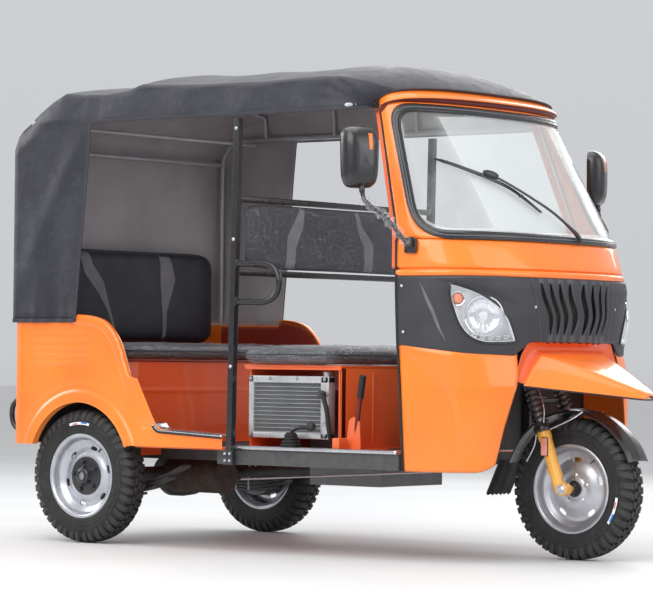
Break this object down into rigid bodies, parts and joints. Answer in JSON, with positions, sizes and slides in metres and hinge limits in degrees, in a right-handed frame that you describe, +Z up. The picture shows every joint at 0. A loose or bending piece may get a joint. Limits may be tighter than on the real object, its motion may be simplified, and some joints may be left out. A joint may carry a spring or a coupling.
{
  "type": "auto rickshaw",
  "caption": "Three-wheeled passenger auto rickshaw with an open cab, bench seats, vinyl canopy and a raked front fork; it steers and all wheels turn.",
  "frame": {"origin": "bottom centre of the bounding box: on the ground, on the centre plane, midway between the rear bumper and the tip of the front mudguard", "axes": "+X forward, +Y to the vehicle's left, +Z up"},
  "size_m": [2.684, 1.6992, 1.866],
  "materials": {
    "orange_paint": "gloss",
    "black_paint": "satin",
    "mask_plastic": "satin",
    "canopy_vinyl": "semi-matt",
    "seat_vinyl": "satin",
    "tube_steel": "satin",
    "rim_steel": "satin",
    "tyre": "matt",
    "rubber": "matt",
    "fork_paint": "satin",
    "window_glass": "clear",
    "lamp_lens": "clear",
    "red_lens": "gloss",
    "engine_metal": "matt",
    "radiator_alloy": "satin",
    "interior_plastic": "matt"
  },
  "bodies": {
    "root": {"chassis_rails": "black_paint", "cross_members": "black_paint", "steering_head": "black_paint", "front_cowls": "orange_paint", "front_mask": "mask_plastic", "grille": "mask_plastic", "upper_cowl": "orange_paint", "windscreen_frame": "orange_paint", "windscreen_glass": "window_glass", "visor": "orange_paint", "headlamps": "lamp_lens", "front_mudguard": "orange_paint", "front_bulkhead": "orange_paint", "dashboard": "interior_plastic", "wiper": "mask_plastic", "mirrors": "mask_plastic", "floor_pan": "orange_paint", "step_strips": "radiator_alloy", "driver_seat_box": "orange_paint", "driver_seat_cushion": "seat_vinyl", "driver_backrest": "seat_vinyl", "backrest_bars": "black_paint", "armrest_loops": "black_paint", "radiator": "radiator_alloy", "driver_controls": "rubber", "b_pillars": "black_paint", "canopy_frame": "tube_steel", "canopy_roof": "canopy_vinyl", "canopy_sides": "canopy_vinyl", "canopy_rear": "canopy_vinyl", "passenger_seat_box": "orange_paint", "passenger_seat_cushion": "seat_vinyl", "passenger_backrest": "seat_vinyl", "rear_body_sides": "orange_paint", "rear_panel": "orange_paint", "wheelhouses": "black_paint", "rear_bumper": "black_paint", "tail_lamps": "red_lens", "number_plate_bracket": "black_paint", "engine": "engine_metal", "muffler": "black_paint", "rear_axle": "black_paint", "leaf_springs": "black_paint", "drive_shaft": "black_paint", "brake_rod": "tube_steel"},
    "steering": {"front_fork": "black_paint", "fork_legs": "fork_paint", "wheel_mudguard": "mask_plastic", "mud_flap": "rubber", "handlebar": "black_paint"},
    "front_wheel": {"front_tyre": "tyre", "front_rim": "rim_steel"},
    "rear_wheel_right": {"rear_right_tyre": "tyre", "rear_right_rim": "rim_steel"},
    "rear_wheel_left": {"rear_left_tyre": "tyre", "rear_left_rim": "rim_steel"}
  },
  "joints": [
    {"name": "steer", "type": "hinge", "parent": "root", "child": "steering", "pos_m": [0.7683, 0, 0.8], "axis": [-0.342, 0, 0.9397], "range_deg": [-38, 38]},
    {"name": "front_wheel_spin", "type": "hinge", "parent": "steering", "child": "front_wheel", "pos_m": [1.028, 0, 0.262], "axis": [0, 1, 0], "continuous": true},
    {"name": "rear_right_spin", "type": "hinge", "parent": "root", "child": "rear_wheel_right", "pos_m": [-0.912, -0.556, 0.262], "axis": [0, 1, 0], "continuous": true},
    {"name": "rear_left_spin", "type": "hinge", "parent": "root", "child": "rear_wheel_left", "pos_m": [-0.912, 0.556, 0.262], "axis": [0, 1, 0], "continuous": true}
  ]
}
